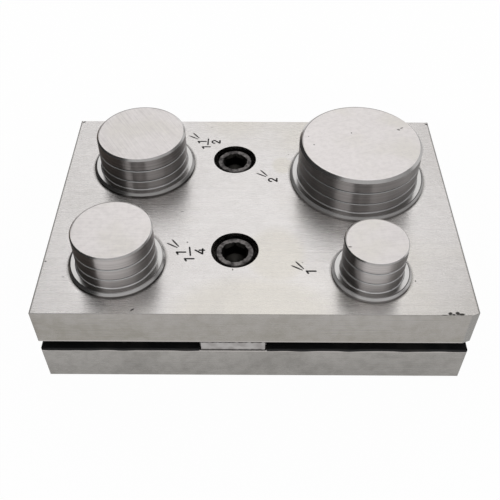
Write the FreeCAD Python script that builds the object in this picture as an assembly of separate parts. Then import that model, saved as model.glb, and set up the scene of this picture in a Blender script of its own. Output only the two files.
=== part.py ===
import FreeCAD, Part
import math
import os

# Four-punch disc cutter for sheet metal, in millimetres.
# The origin is the centre of the underside, +X runs along the length to the right,
# +Y runs to the back and +Z is up. The front is the face at -Y.

# Plates and the slot between them
plate_length = 152.4
plate_width = 107.5
plate_thickness = 15.875
slot_height = 5.0
edge_break = 0.15
corner_clip_along = 2.9         # the guide plate's clipped front right corner
corner_clip_back = 1.2

# Spacer bar that holds the slot open, from front to back
spacer_width = 23.7
spacer_offset = 7.55            # the bar's centre line, left of the middle
spacer_corner = 0.5

# Rubber liners on the die plate, one each side of the spacer bar
liner_thickness = 1.5
liner_spacer_gap = 0.3          # between a liner and the spacer bar
liner_inset = 0.2               # the liners' outer edges, in from the plate's
liner_bore_gap = 1.0            # between a liner and a punch

# Punch cutting diameters
one_inch_diameter = 25.4
inch_and_quarter_diameter = 31.75
inch_and_half_diameter = 38.1
two_inch_diameter = 50.8

# Punch centres, in from the two nearest edges of the plates
one_inch_from_right = 34.8
one_inch_from_front = 19.25
inch_and_quarter_from_left = 26.8
inch_and_quarter_from_front = 23.95
inch_and_half_from_left = 31.2
inch_and_half_from_back = 29.55
two_inch_from_right = 35.0
two_inch_from_back = 36.0

# Punch head heights above the guide plate
one_inch_head_height = 16.1
inch_and_quarter_head_height = 16.5
inch_and_half_head_height = 16.4
two_inch_head_height = 17.3

# Chamfers round the tops of the punch heads
one_inch_head_chamfer = 0.4
inch_and_quarter_head_chamfer = 0.5
inch_and_half_head_chamfer = 0.7
two_inch_head_chamfer = 1.0

# Grooves turned in the punch heads: each floor's height above the guide plate
one_inch_upper_groove = 11.1
one_inch_lower_groove = 6.05
inch_and_quarter_upper_groove = 10.8
inch_and_quarter_lower_groove = 5.75
inch_and_half_upper_groove = 10.75
inch_and_half_lower_groove = 5.6
two_inch_upper_groove = 11.45
two_inch_lower_groove = 6.0

# Punch form: a turned head above, a collar that stops on the guide plate,
# and a shank of the cutting diameter below
head_step = 1.6                 # the head's radius is this much under the shank's
collar_height = 1.65
collar_lip = 1.4                # how far the collar reaches past the shank
collar_chamfer = 0.7
collar_shoulder = 0.3           # the narrow flatter step inside the collar's chamfer
collar_shoulder_drop = 0.1
collar_fillet = 0.5             # between the collar and the head
groove_width = 0.5
groove_depth = 0.4
groove_chamfer = 0.25           # on the groove's lower lip
undercut_height = 1.0           # relief under the collar, so that it seats flat
undercut_depth = 0.3
die_entry = 3.2                 # how far the cutting end goes into the die

# Fits, as radial clearances
guide_clearance = 0.05
die_clearance = 0.06
die_land = 6.0                  # the die bore's full-size length
die_relief = 1.0                # how much wider the bore is below its land
thread_clearance = 0.06
spacer_screw_clearance = 0.6
dowel_clearance = 0.02

# Clamp screws: socket head cap screws, sunk in the guide plate
thread_diameter = 9.525
screw_head_diameter = 14.29
screw_head_height = 9.525
screw_head_chamfer = 0.3
screw_recess = 1.05             # the head's top, below the guide plate's
screw_length = 22.2             # under the head
screw_tip_chamfer = 1.0
hex_sides = 6
hex_across_flats = 7.94
hex_depth = 4.8
hex_mouth_diameter = 10.1
hex_mouth_depth = 0.55
counterbore_diameter = 17.5
front_screw_from_front = 29.75
front_screw_offset = 7.2        # left of the middle
rear_screw_from_back = 26.05
rear_screw_offset = 8.15

# Dowel pins that line the plates up, hidden inside
dowel_diameter = 6.35
dowel_in_die = 10.0
dowel_in_guide = 7.0
dowel_from_edge = 9.5           # from the front and the back edges
dowel_chamfer = 0.5

# Size marks, cut into the guide plate; they read from front to back
mark_depth = 0.3
digit_stroke = 0.7
digit_height = 3.25
digit_width = 2.45
flag_reach = 1.0                # a 1's flag, out from its stem
flag_drop = 0.55                # and down from its top
two_bow_start = 60.0            # degrees, the bow over the head of a 2
two_bow_end = 270.0
caret_stroke = 0.42
caret_length = 4.1
caret_gap = 0.8                 # the caret's arms don't quite meet
caret_opening = 22.5            # degrees between the caret's arms
caret_turn = 139.0              # degrees from +X to the middle of the arms
fraction_bar_stroke = 0.6
fraction_bar_length = 4.0
one_inch_caret_right = 1.05     # from a mark's middle to the caret's point
one_inch_caret_up = 2.9
two_inch_caret_right = 2.3
two_inch_caret_up = 2.5

# The two fractions were stamped by hand, so their digits stand a little out of line.
# A pitch runs from the middle of the fraction bar to the middle of a digit.
inch_and_quarter_bar_slant = 0.28
inch_and_quarter_upper_pitch = 3.25
inch_and_quarter_upper_shift = -0.65
inch_and_quarter_lower_pitch = 3.55
inch_and_quarter_whole_pitch = 3.9
inch_and_quarter_whole_rise = 0.05
inch_and_quarter_caret_right = 2.2
inch_and_quarter_caret_up = 4.6
inch_and_half_bar_slant = -0.03
inch_and_half_upper_pitch = 2.6
inch_and_half_upper_shift = 0.05
inch_and_half_lower_pitch = 3.4
inch_and_half_whole_pitch = 3.6
inch_and_half_whole_rise = 0.65
inch_and_half_caret_right = 2.3
inch_and_half_caret_up = 4.25

# Mark places: the gap from the punch's collar, and the direction in degrees
one_inch_mark_gap = 7.2
one_inch_mark_turn = 179.7
inch_and_quarter_mark_gap = 9.05
inch_and_quarter_mark_turn = 11.0
inch_and_half_mark_gap = 8.9
inch_and_half_mark_turn = 30.9
two_inch_mark_gap = 7.2
two_inch_mark_turn = 184.9

# Levels and edges that follow from the sizes above
die_top = plate_thickness
guide_bottom = die_top + slot_height
guide_top = guide_bottom + plate_thickness
left = -plate_length / 2
right = plate_length / 2
front = -plate_width / 2
back = plate_width / 2
shank_length = plate_thickness + slot_height + die_entry
counterbore_depth = screw_head_height + screw_recess
seat_level = guide_top - counterbore_depth
spacer_left = -spacer_offset - spacer_width / 2
spacer_right = -spacer_offset + spacer_width / 2
up = FreeCAD.Vector(0, 0, 1)


def point(x, y, z=0.0):
    return FreeCAD.Vector(x, y, z)


def cylinder(centre, radius, bottom, top):
    return Part.makeCylinder(radius, top - bottom, point(centre.x, centre.y, bottom))


def revolved(edges, centre):
    """A solid turned about the upright line through centre, from edges in the XZ plane."""
    face = Part.Face(Part.Wire(edges))
    solid = face.revolve(point(0, 0), up, 360)
    solid.translate(centre)
    return solid


def polyline(points):
    pairs = zip(points[:-1], points[1:])
    return [Part.LineSegment(start, end).toShape() for start, end in pairs]


class Punch:
    """One punch's place, its radii, its grooves' heights and the size mark beside it."""

    def __init__(self, node, diameter, head_height, head_chamfer, grooves, centre, mark_gap, mark_turn):
        self.node = node
        self.grooves = [guide_top + height for height in grooves]
        self.centre = centre
        self.head_top = guide_top + head_height
        self.head_chamfer = head_chamfer
        self.shank_radius = diameter / 2
        self.head_radius = self.shank_radius - head_step
        self.collar_radius = self.shank_radius + collar_lip
        reach = self.collar_radius + mark_gap
        turn = math.radians(mark_turn)
        self.mark_place = centre + point(reach * math.cos(turn), reach * math.sin(turn))


one_inch = Punch(
    "punch_one_inch",
    one_inch_diameter,
    one_inch_head_height,
    one_inch_head_chamfer,
    (one_inch_lower_groove, one_inch_upper_groove),
    point(right - one_inch_from_right, front + one_inch_from_front),
    one_inch_mark_gap,
    one_inch_mark_turn,
)
inch_and_quarter = Punch(
    "punch_inch_and_quarter",
    inch_and_quarter_diameter,
    inch_and_quarter_head_height,
    inch_and_quarter_head_chamfer,
    (inch_and_quarter_lower_groove, inch_and_quarter_upper_groove),
    point(left + inch_and_quarter_from_left, front + inch_and_quarter_from_front),
    inch_and_quarter_mark_gap,
    inch_and_quarter_mark_turn,
)
inch_and_half = Punch(
    "punch_inch_and_half",
    inch_and_half_diameter,
    inch_and_half_head_height,
    inch_and_half_head_chamfer,
    (inch_and_half_lower_groove, inch_and_half_upper_groove),
    point(left + inch_and_half_from_left, back - inch_and_half_from_back),
    inch_and_half_mark_gap,
    inch_and_half_mark_turn,
)
two_inch = Punch(
    "punch_two_inch",
    two_inch_diameter,
    two_inch_head_height,
    two_inch_head_chamfer,
    (two_inch_lower_groove, two_inch_upper_groove),
    point(right - two_inch_from_right, back - two_inch_from_back),
    two_inch_mark_gap,
    two_inch_mark_turn,
)
punches = [one_inch, inch_and_quarter, inch_and_half, two_inch]

screw_places = {
    "clamp_screw_front": point(-front_screw_offset, front + front_screw_from_front),
    "clamp_screw_rear": point(-rear_screw_offset, back - rear_screw_from_back),
}
dowel_places = {
    "dowel_pin_front": point(-spacer_offset, front + dowel_from_edge),
    "dowel_pin_rear": point(-spacer_offset, back - dowel_from_edge),
}


# Marks: a digit is drawn about its own middle, with right and up in the mark's own sense.
# Up in a mark is -X on the plate, and right is +Y.

def on_plate(place, right_step, up_step):
    return point(place.x - up_step, place.y + right_step, guide_top - mark_depth)


def stroke(start, end, width):
    """A groove with round ends, open at the guide plate's top."""
    run = end - start
    groove = Part.makeBox(run.Length, width, 2 * mark_depth, point(0, -width / 2))
    groove.rotate(point(0, 0), up, math.degrees(math.atan2(run.y, run.x)))
    groove.translate(start)
    for end_point in (start, end):
        groove = groove.fuse(cylinder(end_point, width / 2, start.z, start.z + 2 * mark_depth))
    return groove


def strokes(place, corners, width=digit_stroke):
    """One groove through a list of (right, up) corners."""
    points = [on_plate(place, right_step, up_step) for right_step, up_step in corners]
    return [stroke(start, end, width) for start, end in zip(points[:-1], points[1:])]


def bow(place, radius, right_step, up_step, first_turn, last_turn):
    """A groove along an arc, counterclockwise on the plate from first_turn to last_turn."""
    centre = on_plate(place, right_step, up_step)
    depth = 2 * mark_depth
    sweep = last_turn - first_turn
    outer = Part.makeCylinder(radius + digit_stroke / 2, depth, centre, up, sweep)
    inner = Part.makeCylinder(radius - digit_stroke / 2, depth, centre, up, sweep)
    ring = outer.cut(inner)
    ring.rotate(centre, up, first_turn)
    return ring


def digit_one(place):
    stem = digit_width * 0.1
    top = digit_height / 2
    return strokes(place, [(stem, -top), (stem, top), (stem - flag_reach, top - flag_drop)])


def digit_two(place):
    top = digit_height / 2
    radius = (digit_width - digit_stroke) / 2
    centre_up = top - radius
    # the bow runs over the digit's head, from its left side to its lower right
    parts = [bow(place, radius, 0, centre_up, two_bow_start, two_bow_end)]
    slant = math.radians(two_bow_start)
    slant_start = (radius * math.sin(slant), centre_up - radius * math.cos(slant))
    parts += strokes(place, [slant_start, (-radius, -top), (radius, -top)])
    parts += strokes(place, [(-radius, centre_up), (-radius, centre_up - digit_stroke / 4)])
    return parts


def digit_four(place):
    top = digit_height / 2
    side = digit_width / 2
    stem = side * 0.5
    bar_up = -top * 0.64
    parts = strokes(place, [(stem, top), (-side, bar_up), (side, bar_up)])
    parts += strokes(place, [(stem, top * 0.1), (stem, -top)])
    return parts


def caret(place, right_step, up_step):
    """Two arms that open to the left of the mark; their points are caret_gap apart."""
    middle = on_plate(place, right_step, up_step)
    arms = []
    for side in (-1, 1):
        across = math.radians(caret_turn + side * 90)
        tip = middle + point(caret_gap / 2 * math.cos(across), caret_gap / 2 * math.sin(across))
        turn = math.radians(caret_turn + side * caret_opening / 2)
        arm = point(caret_length * math.cos(turn), caret_length * math.sin(turn))
        arms.append(stroke(tip, tip + arm, caret_stroke))
    return arms


class Fraction:
    """A whole 1 and a fraction over its bar: 1 above and another digit below."""

    def __init__(self, bar_slant, upper, lower, whole, caret_point):
        half_bar = fraction_bar_length / 2
        self.bar_ends = [(-half_bar, -bar_slant), (half_bar, bar_slant)]
        self.upper = upper
        self.lower = lower
        self.whole = whole
        self.caret_point = caret_point

    def mark(self, place, lower_digit):
        parts = strokes(place, self.bar_ends, fraction_bar_stroke)
        parts += digit_one(place + self.upper)
        parts += lower_digit(place + self.lower)
        parts += digit_one(place + self.whole)
        return parts + caret(place, *self.caret_point)


def size_marks():
    """Every mark's grooves, as cutting solids."""
    parts = digit_one(one_inch.mark_place)
    parts += caret(one_inch.mark_place, one_inch_caret_right, one_inch_caret_up)
    parts += digit_two(two_inch.mark_place)
    parts += caret(two_inch.mark_place, two_inch_caret_right, two_inch_caret_up)
    quarter = Fraction(
        inch_and_quarter_bar_slant,
        point(-inch_and_quarter_upper_pitch, inch_and_quarter_upper_shift),
        point(inch_and_quarter_lower_pitch, 0),
        point(-inch_and_quarter_whole_rise, -inch_and_quarter_whole_pitch),
        (inch_and_quarter_caret_right, inch_and_quarter_caret_up),
    )
    half = Fraction(
        inch_and_half_bar_slant,
        point(-inch_and_half_upper_pitch, inch_and_half_upper_shift),
        point(inch_and_half_lower_pitch, 0),
        point(-inch_and_half_whole_rise, -inch_and_half_whole_pitch),
        (inch_and_half_caret_right, inch_and_half_caret_up),
    )
    parts += quarter.mark(inch_and_quarter.mark_place, digit_four)
    parts += half.mark(inch_and_half.mark_place, digit_two)
    return parts


# Pieces

def plate(bottom):
    blank = Part.makeBox(plate_length, plate_width, plate_thickness, point(left, front, bottom))
    return blank.makeChamfer(edge_break, blank.Edges)


def guide_plate():
    """The top plate: it guides the punches and takes the clamp screws' heads."""
    solid = plate(guide_bottom)
    corner = point(right, front, guide_bottom)
    clip = Part.makePolygon([
        corner,
        corner + point(-corner_clip_along, 0),
        corner + point(0, corner_clip_back),
        corner,
    ])
    cuts = [Part.Face(clip).extrude(point(0, 0, plate_thickness))]
    for punch in punches:
        bore_radius = punch.shank_radius + guide_clearance
        cuts.append(cylinder(punch.centre, bore_radius, guide_bottom, guide_top))
    for place in screw_places.values():
        cuts.append(cylinder(place, counterbore_diameter / 2, seat_level, guide_top))
        cuts.append(cylinder(place, thread_diameter / 2 + thread_clearance, guide_bottom, seat_level))
    for place in dowel_places.values():
        hole_top = guide_bottom + dowel_in_guide
        cuts.append(cylinder(place, dowel_diameter / 2 + dowel_clearance, guide_bottom, hole_top))
    return solid.cut(cuts + size_marks())


def die_plate():
    """The bottom plate: a cutting land at the top of each bore, and a wider drop below."""
    solid = plate(0)
    cuts = []
    for punch in punches:
        land_radius = punch.shank_radius + die_clearance
        cuts.append(cylinder(punch.centre, land_radius, 0, die_top))
        cuts.append(cylinder(punch.centre, land_radius + die_relief, 0, die_top - die_land))
    for place in screw_places.values():
        cuts.append(cylinder(place, thread_diameter / 2 + thread_clearance, 0, die_top))
    for place in dowel_places.values():
        hole_bottom = die_top - dowel_in_die
        cuts.append(cylinder(place, dowel_diameter / 2 + dowel_clearance, hole_bottom, die_top))
    return solid.cut(cuts)


def spacer_bar():
    corner = point(spacer_left, front, die_top)
    blank = Part.makeBox(spacer_width, plate_width, slot_height, corner)
    upright_edges = [edge for edge in blank.Edges if abs(edge.tangentAt(edge.FirstParameter).z) > 0.5]
    solid = blank.makeChamfer(spacer_corner, upright_edges)
    cuts = []
    for place in screw_places.values():
        hole_radius = thread_diameter / 2 + spacer_screw_clearance
        cuts.append(cylinder(place, hole_radius, die_top, guide_bottom))
    for place in dowel_places.values():
        hole_radius = dowel_diameter / 2 + dowel_clearance
        cuts.append(cylinder(place, hole_radius, die_top, guide_bottom))
    return solid.cut(cuts)


def rubber_liner(liner_left, liner_right):
    depth = plate_width - 2 * liner_inset
    corner = point(liner_left, front + liner_inset, die_top)
    solid = Part.makeBox(liner_right - liner_left, depth, liner_thickness, corner)
    cuts = []
    for punch in punches:
        if liner_left < punch.centre.x < liner_right:
            hole_radius = punch.shank_radius + liner_bore_gap
            cuts.append(cylinder(punch.centre, hole_radius, die_top, die_top + liner_thickness))
    return solid.cut(cuts)


def groove(radius, floor):
    """The corners of a turned groove, from below to above; its lower lip is chamfered."""
    return [
        point(radius, 0, floor - groove_chamfer),
        point(radius - groove_chamfer, 0, floor),
        point(radius - groove_depth, 0, floor),
        point(radius - groove_depth, 0, floor + groove_width),
        point(radius, 0, floor + groove_width),
    ]


def punch_solid(punch):
    shank = punch.shank_radius
    head = punch.head_radius
    collar = punch.collar_radius
    collar_top = guide_top + collar_height
    head_top = punch.head_top
    undercut_level = guide_top - undercut_height
    lower = [
        point(0, 0, guide_top - shank_length),
        point(shank, 0, guide_top - shank_length),
        point(shank, 0, undercut_level),
        point(shank - undercut_depth, 0, undercut_level),
        point(shank - undercut_depth, 0, guide_top),
        point(collar, 0, guide_top),
        point(collar, 0, collar_top - collar_shoulder_drop - collar_chamfer),
        point(collar - collar_chamfer, 0, collar_top - collar_shoulder_drop),
        point(collar - collar_chamfer - collar_shoulder, 0, collar_top),
        point(head + collar_fillet, 0, collar_top),
    ]
    wall = [point(head, 0, collar_top + collar_fillet)]
    for floor in punch.grooves:
        wall += groove(head, floor)
    wall += [
        point(head, 0, head_top - punch.head_chamfer),
        point(head - punch.head_chamfer, 0, head_top),
        point(0, 0, head_top),
        point(0, 0, guide_top - shank_length),
    ]
    bend = math.sqrt(0.5)
    fillet_middle = point(
        head + collar_fillet * (1 - bend),
        0,
        collar_top + collar_fillet * (1 - bend),
    )
    edges = polyline(lower)
    edges.append(Part.Arc(lower[-1], fillet_middle, wall[0]).toShape())
    edges += polyline(wall)
    return revolved(edges, punch.centre)


def clamp_screw(place):
    head_radius = screw_head_diameter / 2
    thread_radius = thread_diameter / 2
    head_top = seat_level + screw_head_height
    tip = seat_level - screw_length
    profile = [
        point(0, 0, tip),
        point(thread_radius - screw_tip_chamfer, 0, tip),
        point(thread_radius, 0, tip + screw_tip_chamfer),
        point(thread_radius, 0, seat_level),
        point(head_radius, 0, seat_level),
        point(head_radius, 0, head_top - screw_head_chamfer),
        point(head_radius - screw_head_chamfer, 0, head_top),
        point(0, 0, head_top),
        point(0, 0, tip),
    ]
    solid = revolved(polyline(profile), place)
    corner_radius = hex_across_flats / 2 / math.cos(math.pi / hex_sides)
    corners = []
    for step in range(hex_sides + 1):
        turn = 2 * math.pi / hex_sides * step
        corner = point(corner_radius * math.cos(turn), corner_radius * math.sin(turn))
        corners.append(place + corner + point(0, 0, head_top - hex_depth))
    socket = Part.Face(Part.makePolygon(corners)).extrude(point(0, 0, hex_depth))
    mouth = Part.makeCone(
        hex_across_flats / 2,
        hex_mouth_diameter / 2,
        hex_mouth_depth,
        place + point(0, 0, head_top - hex_mouth_depth),
    )
    return solid.cut([socket, mouth])


def dowel_pin(place):
    bottom = die_top - dowel_in_die
    top = guide_bottom + dowel_in_guide
    pin = cylinder(place, dowel_diameter / 2, bottom, top)
    end_edges = [edge for edge in pin.Edges if edge.Closed]
    return pin.makeChamfer(dowel_chamfer, end_edges)


pieces = {
    "guide_plate": guide_plate(),
    "die_plate": die_plate(),
    "spacer_bar": spacer_bar(),
    "rubber_liner_left": rubber_liner(left + liner_inset, spacer_left - liner_spacer_gap),
    "rubber_liner_right": rubber_liner(spacer_right + liner_spacer_gap, right - liner_inset),
}
for punch in punches:
    pieces[punch.node] = punch_solid(punch)
for node, place in screw_places.items():
    pieces[node] = clamp_screw(place)
for node, place in dowel_places.items():
    pieces[node] = dowel_pin(place)

os.makedirs("parts", exist_ok=True)
for node, solid in pieces.items():
    solid.exportStep(os.path.join("parts", node + ".step"))
    print(node, "volume", round(solid.Volume, 1), "solids", len(solid.Solids), "valid", solid.isValid())
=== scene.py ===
import math
import bmesh
import bpy
from mathutils import Matrix, Vector, noise


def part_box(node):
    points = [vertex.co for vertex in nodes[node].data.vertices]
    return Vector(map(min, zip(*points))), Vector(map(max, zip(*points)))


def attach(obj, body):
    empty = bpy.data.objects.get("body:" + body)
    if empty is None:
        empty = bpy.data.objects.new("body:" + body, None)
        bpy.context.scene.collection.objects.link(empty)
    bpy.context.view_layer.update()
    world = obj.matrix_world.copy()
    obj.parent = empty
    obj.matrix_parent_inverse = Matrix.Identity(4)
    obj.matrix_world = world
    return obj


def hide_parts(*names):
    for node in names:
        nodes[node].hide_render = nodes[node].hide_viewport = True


# A four-punch disc cutter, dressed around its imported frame. Lengths are in metres:
# the origin is under the middle of the tool, +X is to the right, +Y to the back and +Z up.

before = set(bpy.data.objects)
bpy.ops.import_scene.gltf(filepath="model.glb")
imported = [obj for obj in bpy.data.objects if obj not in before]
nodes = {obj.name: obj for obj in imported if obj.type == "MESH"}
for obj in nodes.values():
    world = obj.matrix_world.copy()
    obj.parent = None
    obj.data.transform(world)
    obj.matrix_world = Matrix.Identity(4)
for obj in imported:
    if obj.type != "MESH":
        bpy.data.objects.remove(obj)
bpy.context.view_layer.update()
print("frame loaded,", len(nodes), "nodes")


# Shader maths

class Field:
    # one output socket; arithmetic on fields adds the Math nodes
    def __init__(self, paint, socket):
        self.paint = paint
        self.socket = socket

    def __add__(self, other):
        return self.paint.maths("ADD", self, other)

    def __radd__(self, other):
        return self.paint.maths("ADD", other, self)

    def __sub__(self, other):
        return self.paint.maths("SUBTRACT", self, other)

    def __rsub__(self, other):
        return self.paint.maths("SUBTRACT", other, self)

    def __mul__(self, other):
        return self.paint.maths("MULTIPLY", self, other)

    def __rmul__(self, other):
        return self.paint.maths("MULTIPLY", other, self)

    def __gt__(self, other):
        return self.paint.maths("GREATER_THAN", self, other)

    def __lt__(self, other):
        return self.paint.maths("LESS_THAN", self, other)

    def __abs__(self):
        return self.paint.maths("ABSOLUTE", self)

    def rise(self, low, high, start=0.0, end=1.0):
        # a smooth step from start to end as the field goes from low to high
        values = {"Value": self, "From Min": low, "From Max": high, "To Min": start, "To Max": end}
        return self.paint.node("ShaderNodeMapRange", {"interpolation_type": "SMOOTHSTEP"}, values)


class Paint:
    # the nodes of one material or world
    def __init__(self, owner):
        owner.use_nodes = True
        self.owner = owner
        self.tree = owner.node_tree
        self.tree.nodes.clear()

    def node(self, kind, settings=None, values=None, output=0):
        made = self.tree.nodes.new(kind)
        for key, setting in (settings or {}).items():
            setattr(made, key, setting)
        for key, value in (values or {}).items():
            if isinstance(value, Field):
                self.tree.links.new(value.socket, made.inputs[key])
            else:
                made.inputs[key].default_value = value
        return None if output is None else Field(self, made.outputs[output])

    def maths(self, operation, *values):
        return self.node("ShaderNodeMath", {"operation": operation}, dict(enumerate(values)))

    def place(self):
        return self.node("ShaderNodeTexCoord", output="Object")

    def split(self, vector):
        parts = self.node("ShaderNodeSeparateXYZ", values={0: vector})
        return [Field(self, socket) for socket in parts.socket.node.outputs]

    def vector(self, x, y, z):
        return self.node("ShaderNodeCombineXYZ", values={0: x, 1: y, 2: z})

    def normal(self):
        return self.split(self.node("ShaderNodeNewGeometry", output="Normal"))

    def noise(self, vector, scale=1.0, detail=2.0, roughness=0.5):
        values = {"Vector": vector, "Scale": scale, "Detail": detail, "Roughness": roughness}
        return self.node("ShaderNodeTexNoise", values=values)

    def blend(self, mask, first, second):
        # the first colour where the mask is 0, the second where it is 1
        settings = {"data_type": "RGBA"}
        return self.node("ShaderNodeMix", settings, {0: mask, 6: first, 7: second}, output=2)

    def choose(self, mask, first, second):
        return first + (second - first) * mask

    def most(self, fields):
        best = fields[0]
        for field in fields[1:]:
            best = self.maths("MAXIMUM", best, field)
        return best

    def away(self, x, y, centre):
        # how far a place is from an upright line
        offX = x - centre[0]
        offY = y - centre[1]
        return self.maths("SQRT", offX * offX + offY * offY)

    def nick(self, x, y, centre, length, width, turn):
        # a small mark: 1 inside a long spot, turned from +X by so many degrees
        cos, sin = math.cos(math.radians(turn)), math.sin(math.radians(turn))
        offX = x - centre[0]
        offY = y - centre[1]
        along = (offX * cos + offY * sin) * (2 / length)
        across = (offY * cos - offX * sin) * (2 / width)
        softEdge = (0.4, 1.3)        # of the squared distance, which is 1 at the spot's edge
        return (along * along + across * across).rise(*softEdge, 1.0, 0.0)

    def bump(self, height, distance):
        return self.node("ShaderNodeBump", values={"Height": height, "Distance": distance})

    def tilted(self, x, y, z):
        # the surface's normal, leaning by a little
        parts = {0: self.node("ShaderNodeNewGeometry", output="Normal"), 1: self.vector(x, y, z)}
        leaning = self.node("ShaderNodeVectorMath", {"operation": "ADD"}, parts)
        return self.node("ShaderNodeVectorMath", {"operation": "NORMALIZE"}, {0: leaning})

    def metal(self, values):
        return self.node("ShaderNodeBsdfPrincipled", values={"Metallic": 1.0, **values})

    def mixed(self, mask, first, second):
        # the first shader where the mask is 0, the second where it is 1
        return self.node("ShaderNodeMixShader", values={0: mask, 1: first, 2: second})

    def finish(self, shader):
        kind = "ShaderNodeOutputMaterial"
        if isinstance(self.owner, bpy.types.World):
            kind = "ShaderNodeOutputWorld"
        self.node(kind, values={"Surface": shader}, output=None)
        return self.owner


def newPaint(name):
    return Paint(bpy.data.materials.new(name))


def grey(level):
    return (level, level, level, 1.0)


def dress(node, material):
    nodes[node].data.materials.clear()
    nodes[node].data.materials.append(material)


def newObject(name, data):
    made = bpy.data.objects.new(name, data)
    bpy.context.scene.collection.objects.link(made)
    return made


def plainMesh(shown):
    # what a curve or a modifier makes, as a mesh
    bpy.context.view_layer.update()
    evaluated = shown.evaluated_get(bpy.context.evaluated_depsgraph_get())
    return bpy.data.meshes.new_from_object(evaluated)


# Places read from the frame

def middle(node):
    low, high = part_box(node)
    return (low + high) / 2


def halfWidth(node):
    low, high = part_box(node)
    return (high.x - low.x) / 2


punchNodes = ("punch_one_inch", "punch_inch_and_quarter", "punch_inch_and_half", "punch_two_inch")
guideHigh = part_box("guide_plate")[1]
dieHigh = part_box("die_plate")[1]


# Plates: steel, ground along their length. A noise is given by its scale, detail and roughness,
# and a range by where it starts to show and where it is full.

plateLook = {
    "topColour": (0.764, 0.738, 0.727, 1.0),
    "collarHighlightColour": (0.97, 0.94, 0.925, 1.0),    # painted highlight in front of the collars
    "collarHighlightReach": 0.009,        # out to here
    "collarHighlightFade": 0.008,
    "stainColour": (0.66, 0.62, 0.52, 1.0),
    "stainRange": (0.5, 0.72),   # of the clouds
    "stainShare": 0.4,
    "spotShare": 0.42,           # for the stains that are placed one by one
    "shadeColour": (0.6, 0.575, 0.555, 1.0),
    "clouds": (16.0, 3.0, 0.55),
    "cloudRange": (0.3, 0.48, 1.0, 0.0),
    "cloudShare": 0.3,
    "paintedCornerShades": (            # painted shade, darker to the right: ranges over X and over Y, and the share
        ((0.02, 0.076), (-0.054, 0.0, 1.0, 0.0), 0.5),
        ((0.04, 0.076), (-0.03, 0.04), 0.45),
    ),
    "streakAlong": 35.0,         # grinding streaks are long this way
    "streakAcross": 900.0,       # and fine this way
    "streaks": (1.0, 4.0, 0.6),
    "streakShare": 0.06,
    "mottle": (260.0, 3.0, 0.6),         # fine mottling over the streaks
    "mottleShare": 0.16,
    "wearRange": (0.4, 0.65),    # of the streaks and the mottling
    "roughness": 0.27,
    "roughnessSpread": 0.08,
    "grindAlong": 4000.0,        # the finest lines, which draw reflections out across them
    "grindAcross": 60000.0,
    "grind": (1.0, 1.0),
    "grindLean": 1.4,
    "flatFacing": (0.5, 0.9),    # a face this far up or down is the top or the underside
    "endFacing": 0.6,            # and one this far along X is an end
    "clipFacing": (0.2, 0.7),    # or a clipped corner
    "clipColour": (0.31, 0.3, 0.285, 1.0),
    "sideFall": 0.28,            # painted shade: the sides get darker towards the floor
    "blotches": (55.0, 4.0, 0.6),
    "blotchRange": (0.4, 0.7),
    "blotchShare": 0.3,
    "sideMottleShare": 0.2,
    "slotEdgeHighlight": (0.00054, 0.0009, 1.0, 0.0),    # a painted highlight along the edges that meet the slot
    "slotEdgeHighlightColour": (0.32, 0.3, 0.288, 1.0),
    "specks": (420.0, 2.0),
    "speckRange": (0.77, 0.83),
    "speckShare": 0.5,
    # for specks of dirt, and for the painted shadow and shade on the guide plate
    "grimeAndShadeColour": (0.1, 0.095, 0.085, 1.0),
    "collarShadowStart": -0.0004,       # painted shadow round the collars, with their dark walls mirrored, in from their edge
    "collarShadowEnd": 0.0012,          # and out on the plate
    "collarShadowShare": 0.8,
    "endShadeLine": (0.00025, 0.00075),       # painted shade: a dark line along both ends
    "endShadeShare": 0.75,
    "nickColour": (0.02, 0.018, 0.016, 1.0),
    "nickShare": 0.95,
    "markColour": (0.012, 0.012, 0.012, 1.0),
    "markRoughness": 0.7,
    "markFloor": 0.00035,        # the marks lie this far under the top face
    "markMouth": 0.00004,        # and start this far under it
    "markMargin": 0.001,         # in from the plate's sides
}

# the sides' colour and the darker one they blend to: partly the sides' duller finish, partly
# painted shade, which is deeper on the die plate
plateSides = {
    "guide_plate": {"colour": (0.283, 0.269, 0.256, 1.0), "shade": (0.18, 0.168, 0.14, 1.0)},
    "die_plate": {"colour": (0.242, 0.232, 0.22, 1.0), "shade": (0.12, 0.114, 0.105, 1.0)},
}

# nicks in the guide plate: centre, length, width and turn in degrees
plateNicks = (
    ((0.0640, -0.0536), 0.0022, 0.0003, 0),
    ((0.0660, -0.0530), 0.0016, 0.0013, 30),
    ((0.0671, -0.0534), 0.0012, 0.0007, 0),
    ((0.0685, -0.0529), 0.0016, 0.0016, 0),
    ((0.0698, -0.0533), 0.0022, 0.0010, 0),
    ((-0.0414, -0.0519), 0.0016, 0.0006, 40),
    ((-0.0078, -0.0336), 0.0004, 0.0010, 0),
    ((-0.0248, -0.0202), 0.0006, 0.0006, 0),
    ((-0.0278, -0.0038), 0.0012, 0.0003, 15),
    ((-0.0675, -0.0374), 0.0006, 0.0005, 0),
    ((-0.0752, -0.0300), 0.0008, 0.0006, 0),
    ((0.0142, 0.0310), 0.0004, 0.0005, 0),
    ((0.0194, -0.0001), 0.0004, 0.0004, 0),
    ((0.0172, -0.0300), 0.0004, 0.0004, 0),
    ((0.0565, -0.0386), 0.0004, 0.0008, 0),
    ((-0.0186, 0.0494), 0.0006, 0.0004, 0),
    ((-0.0750, 0.0528), 0.0016, 0.0008, 45),
    ((0.0754, 0.0522), 0.0016, 0.0008, -45),
)

# large oil stains on the guide plate, given in the same way
plateStains = (
    ((0.0, -0.0540), 0.0600, 0.0360, 0),
    ((0.0080, -0.0265), 0.0220, 0.0290, 0),
    ((0.0115, 0.0240), 0.0090, 0.0110, 0),
)

# the carets beside the size marks, whose arms are smeared with ink
caretInk = {
    "points": ((0.0172, -0.03334), (-0.02816, -0.02258), (-0.02407, 0.04157), (0.00482, 0.01715)),
    "gap": 0.0008,               # between the two arms at their point
    "turn": 139.0,
    "opening": 22.5,
    "length": 0.0046,
    "width": 0.0007,
}


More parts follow.
